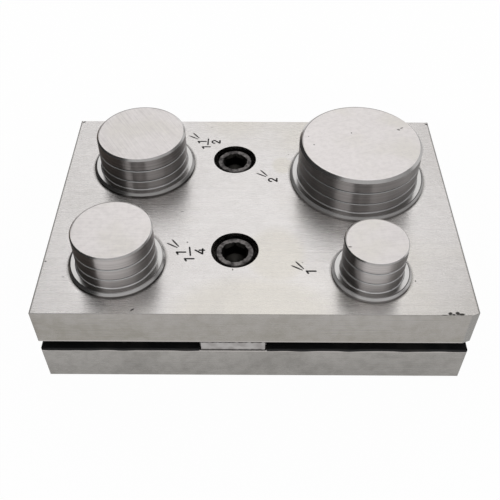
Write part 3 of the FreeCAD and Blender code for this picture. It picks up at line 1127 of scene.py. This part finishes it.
studio = {
    "lens": 50.53,
    "sensor": 36.0,
    "clipStart": 0.01,
    "cameraPlace": (-0.001282, -0.199512, 0.22367),
    "pitch": 46.798,             # degrees down from level
    "yaw": 0.128,
    "roll": 0.172,
    "floorSize": 6.0,
    "floorColour": grey(0.8),
    "glowNear": 0.98,            # how white the camera sees the floor beside the tool
    "glowFar": 0.99,
    "glowStart": 0.08,
    "glowEnd": 0.17,
    "mirrorLevel": 1.3,          # how the steel mirrors the floor in front
    "mirrorRight": grey(0.64),   # the share of that on the right
    "mirrorRightBack": grey(0.36),
    "mirrorBack": grey(0.55),    # behind
    "mirrorLeft": (0.1, 0.085, 0.075, 1.0),      # and on the left, where the room is dark
    "backRange": (0.05, 0.06),   # over Y
    "rightBackRange": (-0.01, 0.03),
    "mirrorEdge": 0.08,          # the sides start this far from the middle
    "mirrorSlant": 0.6,          # and in front of the tool they draw back along a slant
    "mirrorFront": -0.055,       # which starts here
    "mirrorBlur": 0.004,
    "softboxSize": 0.5,
    "softboxPlace": (0.12, 0.1, 0.95),
    "softboxPower": 0.25,
}

# how bright the room is all round, for what the steel mirrors: each turn is in degrees from
# the front, to the right, and gives the level from there on
room = {
    "lowLevels": (
        (-180, 0.1), (-146, 0.03), (-40, 1.05), (-12, 0.48),
        (16, 0.45), (50, 0.03), (90, 0.55), (146, 0.1),
    ),
    "highLevels": ((-180, 1.08), (-146, 0.03), (-40, 0.4), (50, 0.32), (90, 0.12), (146, 1.08)),
    "split": (0.3, 0.38),        # the height where the high levels take over
    "edge": 3.0,                 # degrees over which a level changes
    "ceiling": 0.7,
    "ceilingFrom": (0.89, 0.97),
}


def addCamera():
    data = bpy.data.cameras.new("camera")
    data.lens = studio["lens"]
    data.sensor_width = studio["sensor"]
    data.clip_start = studio["clipStart"]
    camera = newObject("camera", data)
    tilt = Matrix.Rotation(math.radians(90 - studio["pitch"]), 4, "X")
    yaw = Matrix.Rotation(math.radians(studio["yaw"]), 4, "Z")
    roll = Matrix.Rotation(math.radians(studio["roll"]), 4, "Z")
    camera.matrix_world = Matrix.Translation(studio["cameraPlace"]) @ yaw @ tilt @ roll
    bpy.context.scene.camera = camera


def seenDirect(paint):
    # 1 for the rays that come from the camera, also through glass
    camera = paint.node("ShaderNodeLightPath", output="Is Camera Ray")
    through = paint.node("ShaderNodeLightPath", output="Is Transmission Ray")
    return paint.maths("MAXIMUM", camera, through)


def floorMirror(paint, x, y):
    # what the steel mirrors of the floor in front, behind and on both sides
    blur = studio["mirrorBlur"]
    forward = paint.maths("MAXIMUM", studio["mirrorFront"] - y, 0.0)
    edge = studio["mirrorEdge"] + forward * studio["mirrorSlant"]
    colour = paint.blend(y.rise(*studio["backRange"]), grey(1.0), studio["mirrorBack"])
    farBack = y.rise(*studio["rightBackRange"])
    right = paint.blend(farBack, studio["mirrorRight"], studio["mirrorRightBack"])
    colour = paint.blend((x - edge).rise(-blur, blur), colour, right)
    colour = paint.blend((0.0 - x - edge).rise(0.0, blur), colour, studio["mirrorLeft"])
    values = {"Color": colour, "Strength": studio["mirrorLevel"]}
    return paint.node("ShaderNodeEmission", values=values)


def floorPaint(name):
    # white to the camera, with the tool's shadow, and a mirrored floor of its own to the steel
    paint = newPaint(name)
    x, y, _ = paint.split(paint.place())
    away = paint.maths("SQRT", x * x + y * y)
    share = away.rise(studio["glowStart"], studio["glowEnd"], studio["glowNear"], studio["glowFar"])
    matt = paint.node("ShaderNodeBsdfDiffuse", values={"Color": studio["floorColour"]})
    glow = paint.node("ShaderNodeEmission", values={"Color": grey(1.0), "Strength": 1.0})
    seen = paint.mixed(seenDirect(paint) * share, matt, glow)
    glossy = paint.node("ShaderNodeLightPath", output="Is Glossy Ray")
    return paint.finish(paint.mixed(glossy, seen, floorMirror(paint, x, y)))


def addFloor():
    half = studio["floorSize"] / 2
    mesh = bpy.data.meshes.new("floor")
    corners = [(-half, -half, 0), (half, -half, 0), (half, half, 0), (-half, half, 0)]
    mesh.from_pydata(corners, [], [(0, 1, 2, 3)])
    mesh.materials.append(floorPaint("floorPaint"))
    newObject("floor", mesh)


def levelRound(turn, levels):
    edge = room["edge"]
    level = levels[0][1]
    for (_, before), (start, after) in zip(levels, levels[1:]):
        level = level + turn.rise(start - edge, start + edge, 0.0, after - before)
    return level


def addWorld():
    world = bpy.data.worlds.new("studioWorld")
    bpy.context.scene.world = world
    paint = Paint(world)
    x, y, z = paint.split(paint.node("ShaderNodeTexCoord", output="Generated"))
    turn = paint.maths("ARCTAN2", x, 0.0 - y) * math.degrees(1.0)
    low = levelRound(turn, room["lowLevels"])
    high = levelRound(turn, room["highLevels"])
    level = paint.choose(z.rise(*room["split"]), low, high)
    level = paint.choose(z.rise(*room["ceilingFrom"]), level, room["ceiling"])
    level = paint.choose(seenDirect(paint), level, 1.0)
    glow = paint.node("ShaderNodeBackground", values={"Color": grey(1.0), "Strength": level})
    paint.finish(glow)


def addSoftbox():
    data = bpy.data.lights.new("softbox", "AREA")
    data.size = studio["softboxSize"]
    data.energy = studio["softboxPower"]
    place = Vector(studio["softboxPlace"])
    facing = (-place).to_track_quat("-Z", "Y").to_matrix().to_4x4()
    newObject("softbox", data).matrix_world = Matrix.Translation(place) @ facing


addCamera()
addFloor()
addWorld()
addSoftbox()
bpy.context.scene.view_settings.view_transform = "Standard"
print("studio set")
